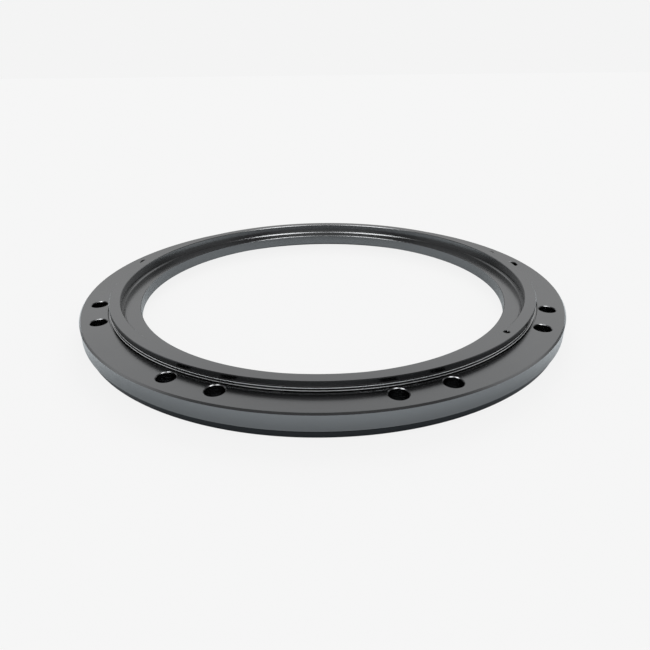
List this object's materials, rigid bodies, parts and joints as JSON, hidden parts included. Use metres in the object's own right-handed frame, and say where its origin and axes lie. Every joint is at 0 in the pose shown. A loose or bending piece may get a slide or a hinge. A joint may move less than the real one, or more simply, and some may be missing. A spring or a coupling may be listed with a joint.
{
  "type": "slewing ring bearing",
  "caption": "Thin slewing ring bearing with a flanged outer ring bolted through paired holes, and a stepped inner ring that turns on caged balls under rubber seals.",
  "frame": {"origin": "centre of the outer ring's bottom face, on the axis of rotation", "axes": "+Z along the axis of rotation, from the locating band to the raised rim; the bolt pairs lie evenly on both sides of -Y"},
  "size_m": [0.35, 0.35, 0.022],
  "materials": {
    "ring_steel": "turned steel with a satin black oxide finish",
    "screw_steel": "black oxide screws and pin, fine matt",
    "ball_steel": "polished bearing steel",
    "cage_plastic": "natural moulded polyamide",
    "seal_rubber": "black nitrile rubber with a soft sheen"
  },
  "bodies": {
    "outer": {"outer_ring": "ring_steel", "lower_seal": "seal_rubber", "loading_plug": "ring_steel", "loading_plug_pin": "screw_steel", "side_grease_screws": "screw_steel"},
    "inner": {"inner_ring": "ring_steel", "upper_seal": "seal_rubber", "rim_grease_screw": "screw_steel"},
    "rolling_set": {"cage_segment_1": "cage_plastic", "cage_segment_2": "cage_plastic", "cage_segment_3": "cage_plastic", "cage_segment_4": "cage_plastic", "cage_segment_5": "cage_plastic", "cage_segment_6": "cage_plastic", "cage_segment_7": "cage_plastic", "cage_segment_8": "cage_plastic", "ball_set_1": "ball_steel", "ball_set_2": "ball_steel", "ball_set_3": "ball_steel", "ball_set_4": "ball_steel", "ball_set_5": "ball_steel", "ball_set_6": "ball_steel", "ball_set_7": "ball_steel", "ball_set_8": "ball_steel"}
  },
  "joints": [
    {"name": "ring_rotation", "type": "hinge", "parent": "outer", "child": "inner", "pos_m": [0, 0, 0.011], "axis": [0, 0, 1], "continuous": true},
    {"name": "cage_rotation", "type": "hinge", "parent": "outer", "child": "rolling_set", "pos_m": [0, 0, 0.011], "axis": [0, 0, 1], "continuous": true}
  ],
  "couplings": [
    {"joint": "cage_rotation", "follows": "ring_rotation", "ratio": 0.493}
  ]
}
